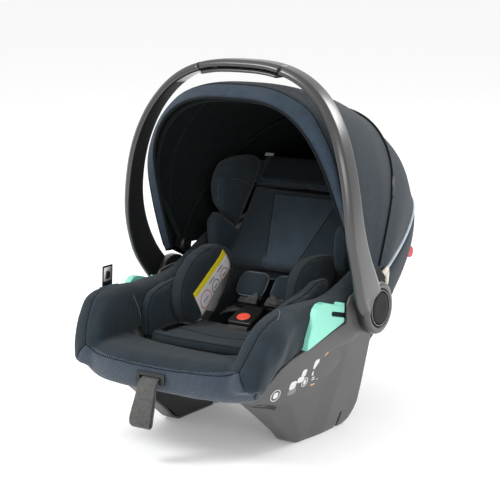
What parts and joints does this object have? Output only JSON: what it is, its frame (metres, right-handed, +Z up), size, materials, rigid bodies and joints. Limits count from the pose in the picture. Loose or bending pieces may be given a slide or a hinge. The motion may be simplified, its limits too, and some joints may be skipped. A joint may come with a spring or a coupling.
{
  "type": "infant car seat",
  "caption": "Rear-facing infant carrier: lined shell on two feet with a turning carry handle, folding canopy, padded insert and five-point harness.",
  "frame": {"origin": "on the floor under the middle of the seat's bounding box", "axes": "+Z up, -Y the foot end (front), +Y the head end, +X the occupant's left as seen from behind the head end; X across the seat"},
  "size_m": [0.44, 0.671, 0.589],
  "materials": {
    "grey_plastic": "satin",
    "black_plastic": "satin",
    "foam": "matt",
    "navy_fabric": "matt",
    "light_navy_fabric": "matt",
    "dark_fabric": "matt",
    "mint_plastic": "satin",
    "webbing": "matt",
    "steel": "satin",
    "grey_lacquer": "satin",
    "red_plastic": "gloss",
    "coral_plastic": "satin",
    "piping": "satin"
  },
  "bodies": {
    "seat": {"side_panel_left": "grey_plastic", "side_panel_right": "grey_plastic", "seat_shell": "black_plastic", "buckle_body": "black_plastic", "adjuster_housing": "black_plastic", "backrest_frame": "black_plastic", "foot_cover_left": "black_plastic", "foot_cover_right": "black_plastic", "lever_bracket_left": "black_plastic", "lever_bracket_right": "black_plastic", "canopy_clip_left": "black_plastic", "canopy_clip_right": "black_plastic", "foam_liner": "foam", "head_end_cover": "navy_fabric", "insert_pad": "navy_fabric", "insert_back": "navy_fabric", "head_support": "navy_fabric", "side_cushion_left": "navy_fabric", "side_cushion_right": "navy_fabric", "insert_bolster_left": "navy_fabric", "insert_bolster_right": "navy_fabric", "front_cushion": "light_navy_fabric", "crotch_pad": "light_navy_fabric", "shoulder_pad_left": "light_navy_fabric", "shoulder_pad_right": "light_navy_fabric", "base_cushion": "dark_fabric", "back_pad": "dark_fabric", "insert_wing_left": "dark_fabric", "insert_wing_right": "dark_fabric", "belt_guide_left": "mint_plastic", "belt_guide_right": "mint_plastic", "crotch_strap": "webbing", "pull_strap": "webbing", "shoulder_strap_left": "webbing", "shoulder_strap_right": "webbing", "lap_strap_left": "webbing", "lap_strap_right": "webbing", "pivot_pin_left": "steel", "pivot_pin_right": "steel", "harness_tongue_left": "steel", "harness_tongue_right": "steel", "rim_piping": "piping"},
    "handle": {"grip_top": "grey_lacquer", "grip_bottom": "grey_lacquer", "handle_leg_left": "grey_lacquer", "handle_leg_right": "grey_lacquer", "hub_ring_left": "black_plastic", "hub_ring_right": "black_plastic"},
    "lock_button_left": {"lock_button_left": "black_plastic"},
    "lock_button_right": {"lock_button_right": "black_plastic"},
    "canopy_middle": {"canopy_middle_bow": "steel", "canopy_rear_fabric": "navy_fabric"},
    "canopy_front": {"canopy_front_bow": "steel", "canopy_front_fabric": "navy_fabric"},
    "buckle_button": {"buckle_button": "coral_plastic"},
    "adjuster_lever": {"adjuster_lever": "steel"},
    "release_lever": {"release_lever": "black_plastic", "lever_cap_left": "red_plastic", "lever_cap_right": "red_plastic"},
    "latch_hooks": {"latch_hooks": "steel"}
  },
  "joints": [
    {"name": "handle_pivot", "type": "hinge", "parent": "seat", "child": "handle", "pos_m": [0, 0.0054, 0.204], "axis": [-1, 0, 0], "range_deg": [-62, 105]},
    {"name": "lock_button_left_press", "type": "slide", "parent": "handle", "child": "lock_button_left", "axis": [1, 0, 0], "range_m": [0, 0.004], "stiffness_N_per_m": 900, "springref_m": -0.002},
    {"name": "lock_button_right_press", "type": "slide", "parent": "handle", "child": "lock_button_right", "axis": [-1, 0, 0], "range_m": [0, 0.004], "stiffness_N_per_m": 900, "springref_m": -0.002},
    {"name": "canopy_middle_fold", "type": "hinge", "parent": "seat", "child": "canopy_middle", "pos_m": [0, 0.0024, 0.268], "axis": [-1, 0, 0], "range_deg": [0, 25], "deforming": ["canopy_rear_fabric"]},
    {"name": "canopy_front_fold", "type": "hinge", "parent": "canopy_middle", "child": "canopy_front", "pos_m": [0, 0.0024, 0.268], "axis": [-1, 0, 0], "range_deg": [0, 50], "deforming": ["canopy_front_fabric"]},
    {"name": "buckle_press", "type": "slide", "parent": "seat", "child": "buckle_button", "axis": [0, 0.342, -0.9397], "range_m": [0, 0.003], "stiffness_N_per_m": 1500, "springref_m": -0.002},
    {"name": "adjuster_press", "type": "hinge", "parent": "seat", "child": "adjuster_lever", "pos_m": [0, -0.2856, 0.1395], "axis": [1, 0, 0], "range_deg": [0, 5], "stiffness_Nm_per_rad": 0.3, "springref_deg": -8.59},
    {"name": "release_lift", "type": "hinge", "parent": "seat", "child": "release_lever", "pos_m": [0, 0.2684, 0.21], "axis": [1, 0, 0], "range_deg": [0, 14], "stiffness_Nm_per_rad": 3, "springref_deg": -8.59},
    {"name": "latch_open", "type": "hinge", "parent": "seat", "child": "latch_hooks", "pos_m": [0, -0.0076, 0.038], "axis": [-1, 0, 0], "range_deg": [0, 20]}
  ],
  "couplings": [
    {"joint": "latch_open", "follows": "release_lift", "ratio": 1.4286}
  ]
}
